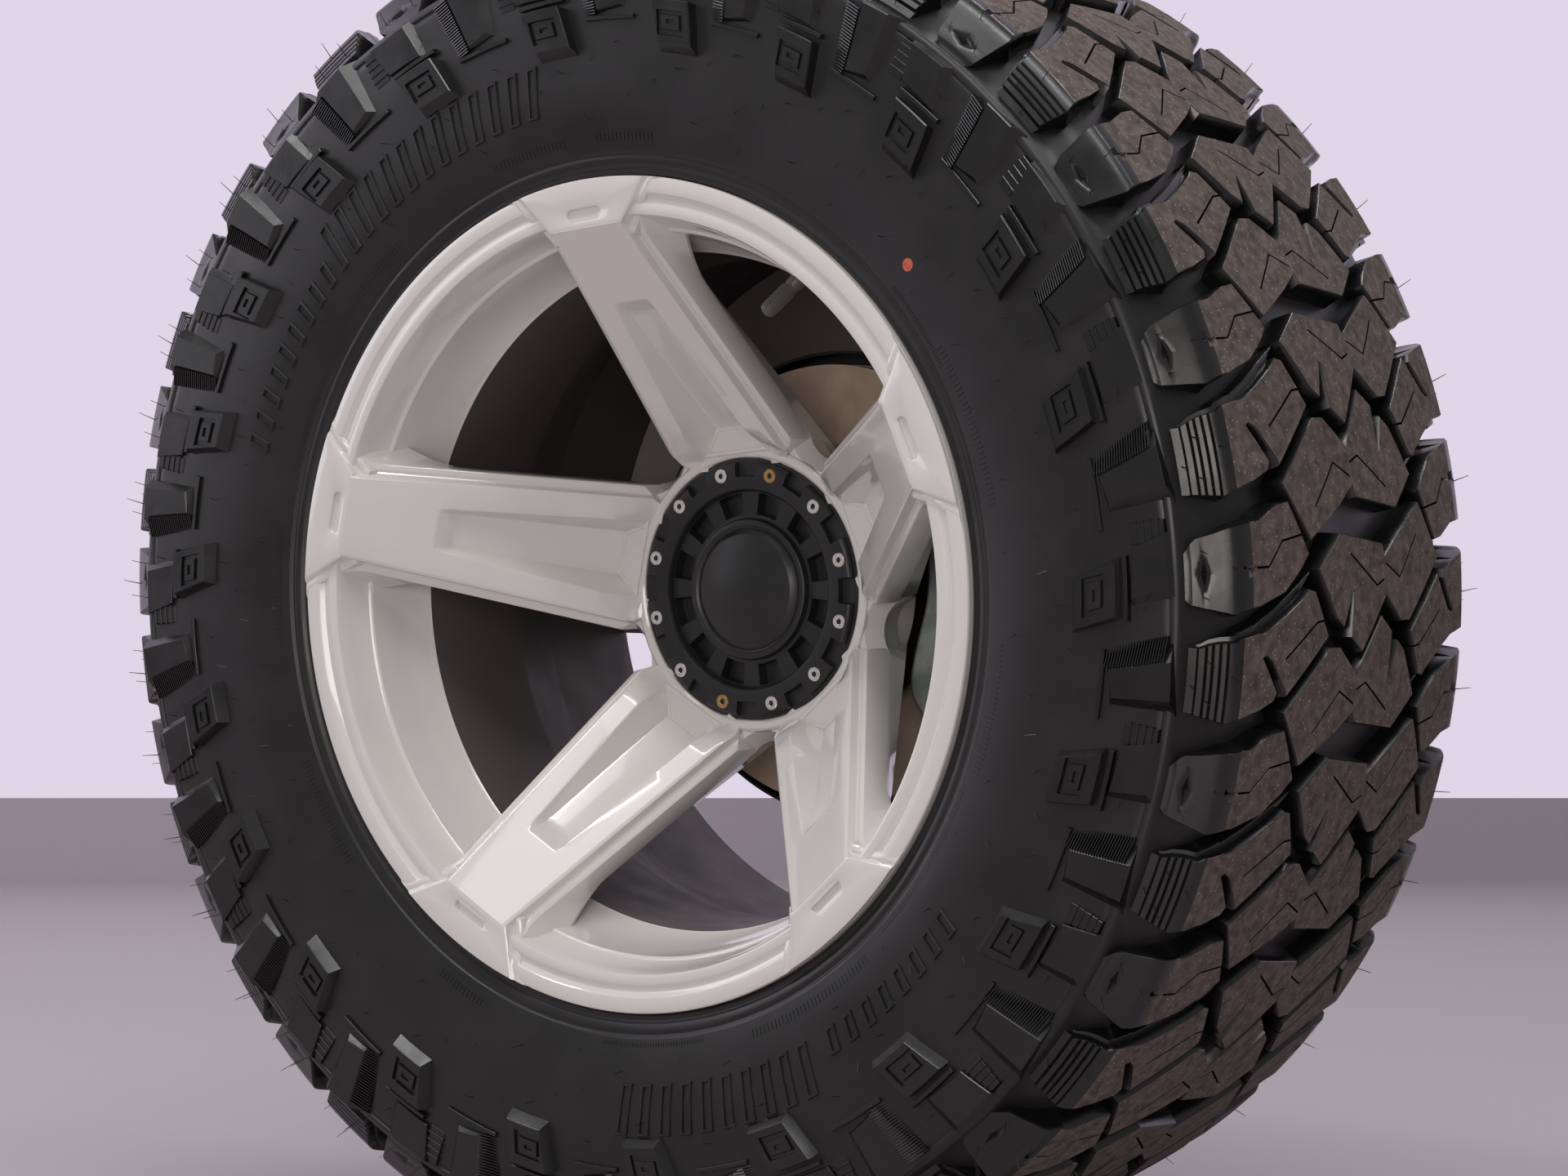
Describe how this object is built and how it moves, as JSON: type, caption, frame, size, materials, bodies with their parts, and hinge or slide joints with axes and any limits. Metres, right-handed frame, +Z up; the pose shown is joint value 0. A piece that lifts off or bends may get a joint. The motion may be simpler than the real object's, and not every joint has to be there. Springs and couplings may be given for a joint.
{
  "type": "off-road wheel end",
  "caption": "Lugged mud tyre on a wide spoked alloy wheel, with its brake disc, axle shaft and the cut axle end that carries it.",
  "frame": {"origin": "centre of the axle tube's inner cut end, on the wheel's axis", "axes": "+Y along the axle, inwards to the vehicle; +Z up; the wheel's face looks towards -Y"},
  "size_m": [0.9363, 0.571, 0.9359],
  "materials": {
    "tyre": "matt moulded rubber, dusty on the tread",
    "barrel_black": "gloss black",
    "face_paint": "gloss warm light grey",
    "cap_black": "satin black",
    "valve_rubber": "matt",
    "nut_chrome": "plated",
    "machined_steel": "turned",
    "disc_iron": "swept, with light rust",
    "axle_black": "black chassis paint",
    "shield_black": "black chassis paint",
    "caliper_iron": "zinc plated casting",
    "pad_friction": "rough friction material on a black plate"
  },
  "bodies": {
    "axle_end": {"axle_tube": "axle_black", "wheel_bearing": "machined_steel", "bearing_retainer": "machined_steel", "dust_shield": "shield_black", "caliper_bracket": "caliper_iron", "caliper_body": "caliper_iron", "caliper_piston": "nut_chrome", "brake_pad_outer": "pad_friction", "brake_pad_inner": "pad_friction", "guide_pins": "machined_steel"},
    "wheel": {"tyre": "tyre", "rim_barrel": "barrel_black", "wheel_face": "face_paint", "cap_ring": "cap_black", "cap_centre": "cap_black", "valve_stem": "valve_rubber", "axle_shaft": "machined_steel", "brake_disc": "disc_iron"}
  },
  "joints": [
    {"name": "wheel_spin", "type": "hinge", "parent": "axle_end", "child": "wheel", "pos_m": [0, 0, 0], "axis": [0, -1, 0], "continuous": true}
  ]
}
